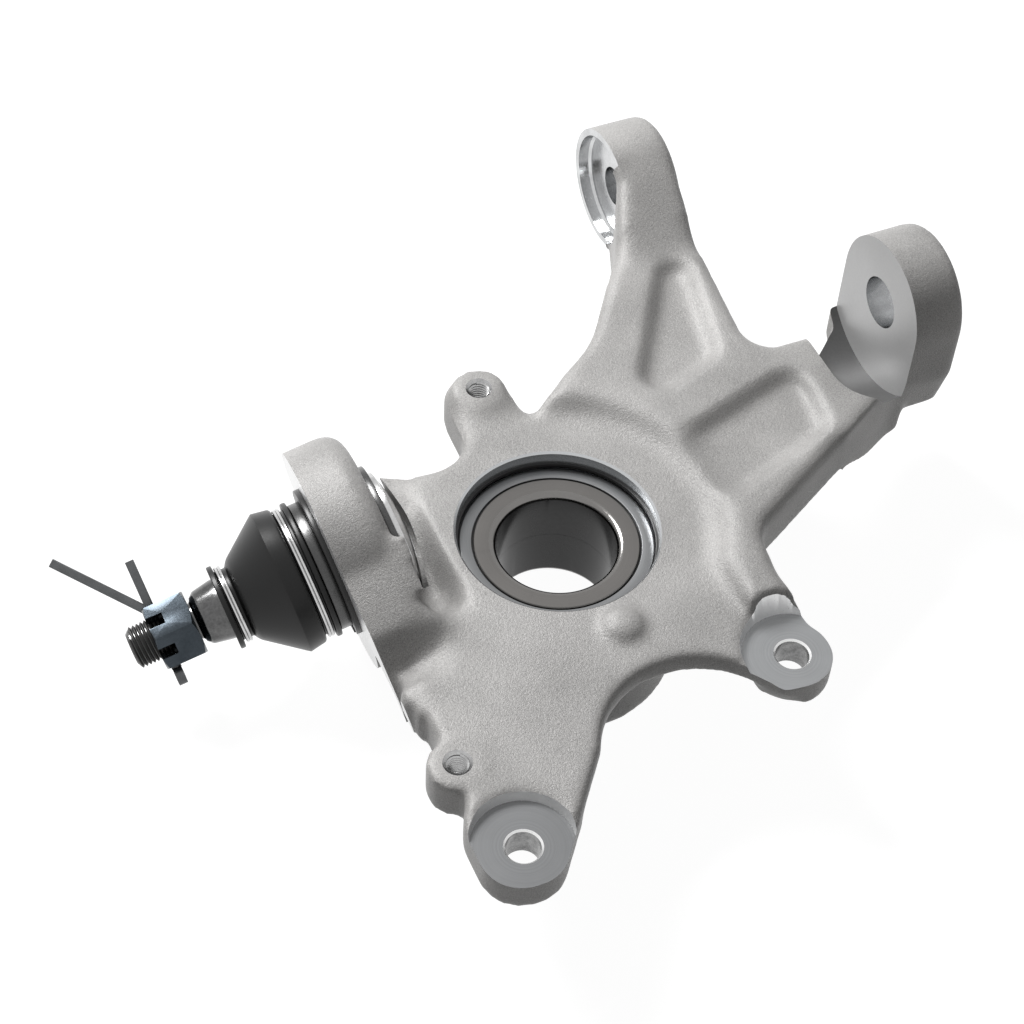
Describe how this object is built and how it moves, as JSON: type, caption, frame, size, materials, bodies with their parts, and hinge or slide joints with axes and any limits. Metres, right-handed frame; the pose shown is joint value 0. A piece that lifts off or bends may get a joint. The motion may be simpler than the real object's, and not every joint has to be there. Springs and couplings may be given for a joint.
{
  "type": "steering knuckle",
  "caption": "Aluminium steering knuckle with a wheel bearing in its hub, a ball joint with boot and slotted nut, a steering arm and caliper lugs.",
  "frame": {"origin": "middle of the wheel bearing, on the wheel axis", "axes": "+Z along the wheel axis, outboard; +X in plan along the ball joint's axis, from the ball joint towards the upper ear; +Y towards the tie rod ear"},
  "size_m": [0.3541, 0.3205, 0.1095],
  "materials": {
    "cast_aluminium": "shot blasted casting, machined faces smoother",
    "bearing_steel": "ground",
    "polished_steel": "polished",
    "plated_steel": "bright",
    "zinc_steel": "bluish zinc plating",
    "dull_zinc": "dull zinc plating",
    "black_steel": "black phosphate",
    "cage_plastic": "moulded",
    "seat_plastic": "moulded",
    "black_rubber": "satin"
  },
  "bodies": {
    "knuckle": {"knuckle_casting": "cast_aluminium", "bearing_outer_ring": "bearing_steel", "bearing_seal_outboard": "black_rubber", "bearing_seal_inboard": "black_rubber", "bearing_retaining_ring": "black_steel", "ball_joint_housing": "plated_steel", "ball_joint_end_cap": "plated_steel", "ball_joint_seat": "seat_plastic", "ball_joint_bottom_seat": "seat_plastic", "ball_joint_spring_washer": "plated_steel", "ball_joint_circlip": "black_steel", "boot_clamp_large": "plated_steel"},
    "bearing_inner": {"bearing_inner_ring_outboard": "bearing_steel", "bearing_inner_ring_inboard": "bearing_steel"},
    "cage_outboard": {"bearing_cage_outboard": "cage_plastic", "bearing_balls_outboard": "polished_steel"},
    "cage_inboard": {"bearing_cage_inboard": "cage_plastic", "bearing_balls_inboard": "polished_steel"},
    "boot_body": {"boot": "black_rubber"},
    "boot_neck": {"boot_clamp_small": "plated_steel"},
    "stud": {"ball_stud": "polished_steel", "slotted_nut": "zinc_steel", "split_pin": "dull_zinc"}
  },
  "joints": [
    {"name": "wheel_spin", "type": "hinge", "parent": "knuckle", "child": "bearing_inner", "pos_m": [0, 0, 0], "axis": [0, 0, 1], "continuous": true},
    {"name": "cage_outboard_spin", "type": "hinge", "parent": "knuckle", "child": "cage_outboard", "pos_m": [0, 0, 0.0095], "axis": [0, 0, 1], "continuous": true},
    {"name": "cage_inboard_spin", "type": "hinge", "parent": "knuckle", "child": "cage_inboard", "pos_m": [0, 0, -0.0095], "axis": [0, 0, 1], "continuous": true},
    {"name": "ball_joint_pitch", "type": "hinge", "parent": "knuckle", "child": "boot_body", "pos_m": [-0.07036, 0.03, 0.01439], "axis": [0, 1, 0], "range_deg": [-15, 15], "deforming": ["boot"]},
    {"name": "ball_joint_yaw", "type": "hinge", "parent": "boot_body", "child": "boot_neck", "pos_m": [-0.07036, 0.03, 0.01439], "axis": [0.1994, 0, -0.9799], "range_deg": [-15, 15], "deforming": ["boot"]},
    {"name": "stud_spin", "type": "hinge", "parent": "boot_neck", "child": "stud", "pos_m": [-0.07036, 0.03, 0.01439], "axis": [-0.9799, 0, -0.1994], "continuous": true}
  ],
  "couplings": [
    {"joint": "cage_outboard_spin", "follows": "wheel_spin", "ratio": 0.4358},
    {"joint": "cage_inboard_spin", "follows": "wheel_spin", "ratio": 0.4358}
  ]
}
